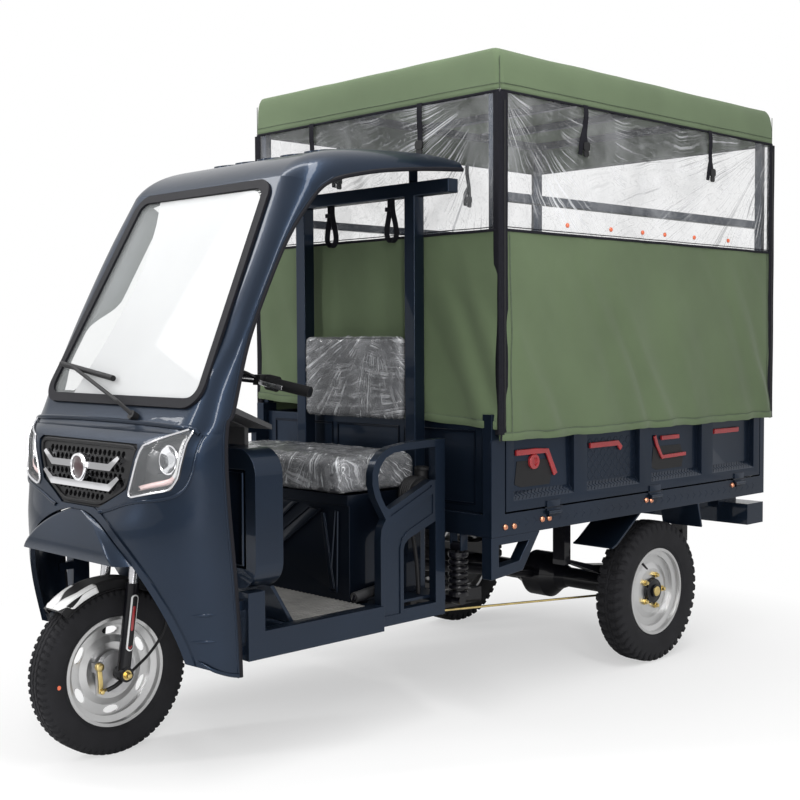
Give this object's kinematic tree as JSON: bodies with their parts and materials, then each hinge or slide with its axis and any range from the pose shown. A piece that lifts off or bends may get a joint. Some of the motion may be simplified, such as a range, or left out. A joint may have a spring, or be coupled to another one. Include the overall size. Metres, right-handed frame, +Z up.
{
  "type": "cargo auto rickshaw",
  "caption": "Three-wheeled cargo rickshaw with an open driver cab, drop-side bed and a fabric canopy with clear windows.",
  "frame": {"origin": "on the ground under the middle of the vehicle", "axes": "+X to the left side of the vehicle, +Y to its back, +Z up; it faces -Y"},
  "size_m": [1.268, 3.046, 2.184],
  "materials": {
    "navy_paint": "glossy dark blue-grey paint",
    "dark_paint": "satin near-black paint",
    "black_paint": "satin black paint",
    "black_plastic": "matt black moulded plastic",
    "grey_plastic": "grained dark grey plastic",
    "rubber_trim": "dark grey rubber seal",
    "floor_rubber": "grey-brown rubber mat",
    "grip_rubber": "ribbed black rubber",
    "clear_glass": "clear flat glass",
    "clear_vinyl": "clear crinkled vinyl sheet",
    "bright_chrome": "polished chrome",
    "bright_steel": "bright steel tube",
    "zinc_steel": "yellow zinc plated steel",
    "lamp_lens": "clear lamp lens over a dark housing",
    "red_lens": "red lamp plastic",
    "seat_vinyl": "dark vinyl under clear wrapping film",
    "cast_engine": "cast engine block",
    "cast_hub": "cast aluminium",
    "silver_rim": "silver painted pressed steel",
    "tyre_rubber": "black road tyre",
    "green_canvas": "olive green coated canvas",
    "black_strap": "black webbing"
  },
  "bodies": {
    "chassis": {"main_frame": "black_paint", "cab_floor": "navy_paint", "floor_mat": "floor_rubber", "side_panels": "navy_paint", "cab_rear_frame": "navy_paint", "nose_shell": "navy_paint", "windshield_surround": "navy_paint", "roof_shell": "navy_paint", "windshield_glass": "clear_glass", "windshield_seal": "rubber_trim", "grille_panel": "black_plastic", "grille_bars": "bright_chrome", "headlamps": "lamp_lens", "nose_visor": "navy_paint", "wiper": "black_plastic", "leg_shield": "navy_paint", "dashboard": "grey_plastic", "seat_box": "dark_paint", "backrest": "seat_vinyl", "engine": "cast_engine", "air_cleaner": "black_plastic", "drive_shaft": "black_paint", "rear_axle": "black_paint", "leaf_springs": "black_paint", "shock_absorbers": "black_paint", "brake_rods": "zinc_steel", "bed_frame": "navy_paint", "bed_front_board": "navy_paint", "wheel_flaps": "navy_paint", "step_brackets": "navy_paint", "rear_bumper": "navy_paint", "tail_lamps": "red_lens", "canopy_frame": "navy_paint", "canopy_top": "green_canvas", "curtain_left": "green_canvas", "curtain_right": "green_canvas", "curtain_front": "green_canvas", "curtain_rear": "green_canvas", "canopy_windows": "clear_vinyl", "hanging_straps": "black_strap"},
    "steering": {"fork_crowns": "bright_steel", "fork_legs": "black_paint", "handlebar": "black_paint", "grips": "grip_rubber", "front_mudguard": "black_plastic", "front_brake_plate": "cast_hub"},
    "front_wheel": {"front_tyre": "tyre_rubber", "front_rim": "silver_rim", "front_hub": "cast_hub"},
    "rear_wheel_left": {"rear_tyre_left": "tyre_rubber", "rear_rim_left": "silver_rim", "rear_hub_left": "black_paint"},
    "rear_wheel_right": {"rear_tyre_right": "tyre_rubber", "rear_rim_right": "silver_rim", "rear_hub_right": "black_paint"},
    "left_side_board": {"side_board_left": "navy_paint"},
    "right_side_board": {"side_board_right": "navy_paint"},
    "back_board": {"tailgate": "navy_paint"},
    "seat": {"seat_cushion": "seat_vinyl"}
  },
  "joints": [
    {"name": "steering_turn", "type": "hinge", "parent": "chassis", "child": "steering", "pos_m": [0, -1.23615, 0.5], "axis": [0, 0.1392, 0.9903], "range_deg": [-32, 32]},
    {"name": "front_wheel_spin", "type": "hinge", "parent": "steering", "child": "front_wheel", "pos_m": [0, -1.271, 0.252], "axis": [1, 0, 0], "continuous": true},
    {"name": "rear_wheel_left_spin", "type": "hinge", "parent": "chassis", "child": "rear_wheel_left", "pos_m": [0.511, 0.804, 0.271], "axis": [1, 0, 0], "continuous": true},
    {"name": "rear_wheel_right_spin", "type": "hinge", "parent": "chassis", "child": "rear_wheel_right", "pos_m": [-0.511, 0.804, 0.271], "axis": [1, 0, 0], "continuous": true},
    {"name": "left_board_drop", "type": "hinge", "parent": "chassis", "child": "left_side_board", "pos_m": [0.621, 0.659, 0.655], "axis": [0, 1, 0], "range_deg": [0, 175], "deforming": ["curtain_left"]},
    {"name": "right_board_drop", "type": "hinge", "parent": "chassis", "child": "right_side_board", "pos_m": [-0.621, 0.659, 0.655], "axis": [0, -1, 0], "range_deg": [0, 175], "deforming": ["curtain_right"]},
    {"name": "tailgate_drop", "type": "hinge", "parent": "chassis", "child": "back_board", "pos_m": [0, 1.506, 0.655], "axis": [-1, 0, 0], "range_deg": [0, 175], "deforming": ["curtain_rear"]},
    {"name": "seat_lift", "type": "hinge", "parent": "chassis", "child": "seat", "pos_m": [0, -0.336, 0.7553], "axis": [-1, 0, 0], "range_deg": [0, 30]}
  ]
}
